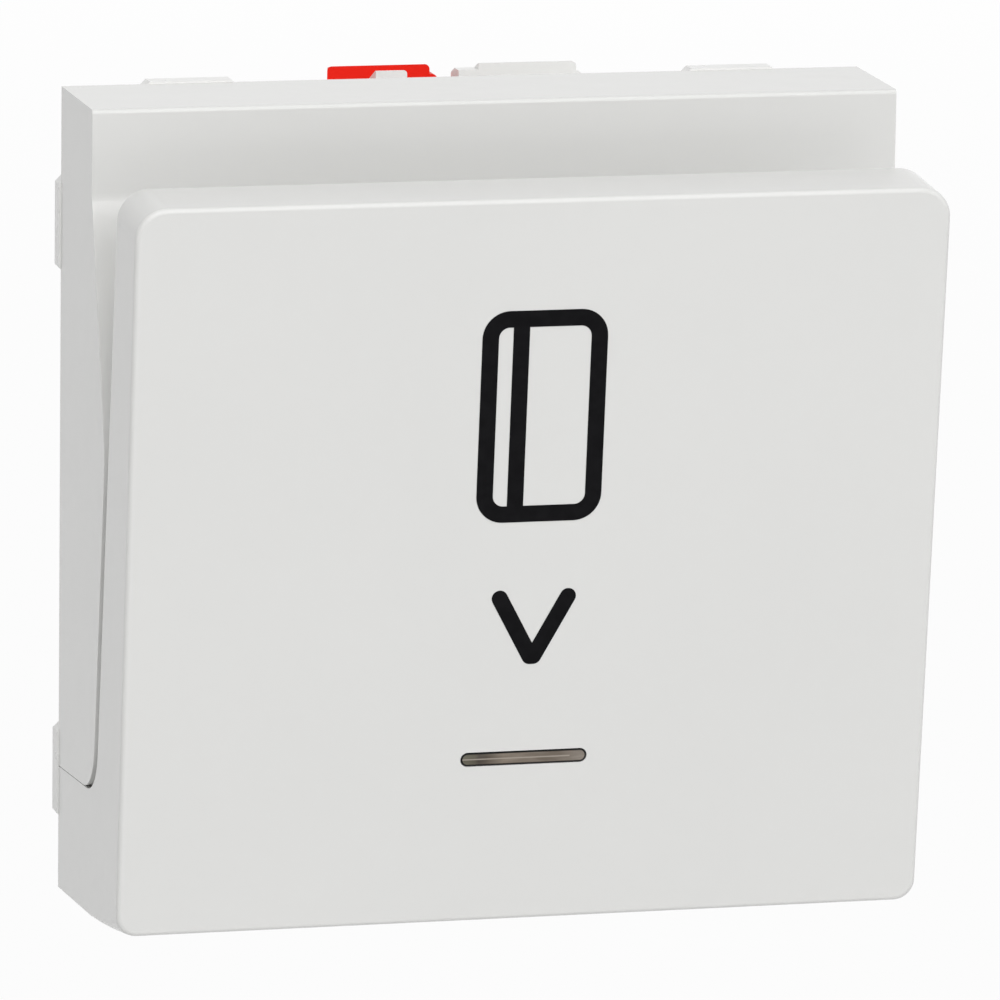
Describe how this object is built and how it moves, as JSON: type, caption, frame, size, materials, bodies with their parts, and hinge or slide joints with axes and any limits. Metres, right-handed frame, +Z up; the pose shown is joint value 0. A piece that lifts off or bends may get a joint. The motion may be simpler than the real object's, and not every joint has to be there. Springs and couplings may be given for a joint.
{
  "type": "hotel key card switch",
  "caption": "Snap-in hotel key card switch module: tilted front cover with card symbol and indicator, card slot, sprung lever, snap switch and push-in terminals.",
  "frame": {"origin": "centre of the module's 45 mm outline, in the plane where the flange rests on the mounting frame", "axes": "+X to the right seen from the front, +Y into the wall, +Z up; the front cover faces -Y"},
  "size_m": [0.0452, 0.0403, 0.045],
  "materials": {
    "white_gloss": "glossy white polycarbonate",
    "white_inner": "satin white plastic",
    "white_housing": "glossy white plastic",
    "smoked_lens": "smoked translucent plastic",
    "clear_plastic": "clear acrylic",
    "lever_plastic": "natural white slick plastic",
    "black_plastic": "black moulded plastic",
    "button_plastic": "dark red plastic",
    "brass": "stamped brass",
    "steel": "spring steel",
    "tinned_lead": "tinned copper wire",
    "board_green": "green circuit board",
    "lamp_white": "lamp body with a phosphor window",
    "resistor_black": "black chip with tinned ends",
    "latch_red": "glossy red plastic",
    "release_grey": "grey plastic"
  },
  "bodies": {
    "module": {"front_cover": "white_gloss", "slot_plate": "white_inner", "indicator_lens": "smoked_lens", "light_guide": "clear_plastic", "card_guide_body": "white_gloss", "lever_pivot_pin": "steel", "lever_spring": "steel", "mechanism_housing": "white_housing", "switch_carrier": "white_inner", "snap_switch_case": "black_plastic", "snap_switch_tabs": "brass", "indicator_board": "board_green", "indicator_led": "lamp_white", "board_resistor": "resistor_black", "board_leads": "tinned_lead", "latch_spring_top": "steel", "latch_spring_bottom": "steel", "contact_bar_1": "brass", "contact_bar_2": "brass", "contact_bar_3": "brass", "contact_bar_4": "brass", "terminal_spring_1": "steel", "terminal_spring_2": "steel", "terminal_spring_3": "steel", "terminal_spring_4": "steel"},
    "card_lever": {"card_lever": "lever_plastic"},
    "switch_button": {"snap_switch_button": "button_plastic"},
    "latch_top": {"release_latch_top": "latch_red"},
    "latch_bottom": {"release_latch_bottom": "latch_red"},
    "release_1": {"terminal_button_1": "release_grey"},
    "release_2": {"terminal_button_2": "release_grey"},
    "release_3": {"terminal_button_3": "release_grey"},
    "release_4": {"terminal_button_4": "release_grey"}
  },
  "joints": [
    {"name": "lever_hinge", "type": "hinge", "parent": "module", "child": "card_lever", "pos_m": [0, -0.0072, 0.006], "axis": [1, 0, 0], "range_deg": [0, 8], "stiffness_Nm_per_rad": 0.1, "springref_deg": -2.86, "deforming": ["lever_spring"]},
    {"name": "switch_button_slide", "type": "slide", "parent": "module", "child": "switch_button", "axis": [0, 1, 0], "range_m": [0, 0.00105]},
    {"name": "latch_top_slide", "type": "slide", "parent": "module", "child": "latch_top", "axis": [0, 0, -1], "range_m": [0, 0.0012], "stiffness_N_per_m": 600, "springref_m": -0.0005, "deforming": ["latch_spring_top"]},
    {"name": "latch_bottom_slide", "type": "slide", "parent": "module", "child": "latch_bottom", "axis": [0, 0, 1], "range_m": [0, 0.0012], "stiffness_N_per_m": 600, "springref_m": -0.0005, "deforming": ["latch_spring_bottom"]},
    {"name": "release_1_slide", "type": "slide", "parent": "module", "child": "release_1", "axis": [0, -1, 0], "range_m": [0, 0.0015], "stiffness_N_per_m": 1000, "springref_m": -0.0003, "deforming": ["terminal_spring_1"]},
    {"name": "release_2_slide", "type": "slide", "parent": "module", "child": "release_2", "axis": [0, -1, 0], "range_m": [0, 0.0015], "stiffness_N_per_m": 1000, "springref_m": -0.0003, "deforming": ["terminal_spring_2"]},
    {"name": "release_3_slide", "type": "slide", "parent": "module", "child": "release_3", "axis": [0, -1, 0], "range_m": [0, 0.0015], "stiffness_N_per_m": 1000, "springref_m": -0.0003, "deforming": ["terminal_spring_3"]},
    {"name": "release_4_slide", "type": "slide", "parent": "module", "child": "release_4", "axis": [0, -1, 0], "range_m": [0, 0.0015], "stiffness_N_per_m": 1000, "springref_m": -0.0003, "deforming": ["terminal_spring_4"]}
  ],
  "couplings": [
    {"joint": "switch_button_slide", "follows": "lever_hinge", "m_per_rad": 0.0075}
  ]
}
